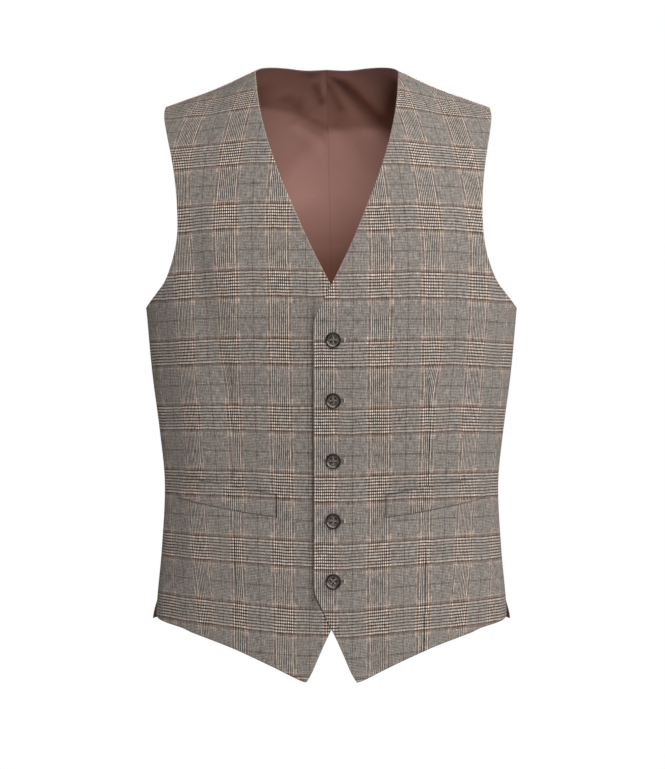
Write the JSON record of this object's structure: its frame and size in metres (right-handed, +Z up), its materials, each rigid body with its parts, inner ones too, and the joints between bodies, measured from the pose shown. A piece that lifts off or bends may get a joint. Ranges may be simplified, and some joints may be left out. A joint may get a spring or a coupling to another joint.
{
  "type": "suit waistcoat",
  "caption": "Men's V-neck single-breasted suit waistcoat in grey glen check with a rust overcheck and satin back, worn form, slanted welt pockets and a pointed hem",
  "frame": {"origin": "the wearer's hold: on the middle plane, level with the neck points of the shoulders and over the shoulder ridge", "axes": "+X is the wearer's left, +Y points out of the wearer's back, +Z is up; the front faces -Y"},
  "size_m": [0.3864, 0.2455, 0.634],
  "materials": {
    "check_cloth": "worsted wool glen check in grey and taupe with rust lines, matt with a faint sheen",
    "satin": "rose-brown lining satin with a soft sheen",
    "horn": "dark brown mottled imitation horn, polished"
  },
  "bodies": {
    "root": {"front_left": "check_cloth", "front_right": "check_cloth", "welt_left": "check_cloth", "welt_right": "check_cloth", "back_left": "satin", "back_right": "satin", "button_1": "horn", "button_2": "horn", "button_3": "horn", "button_4": "horn", "button_5": "horn"}
  },
  "joints": []
}
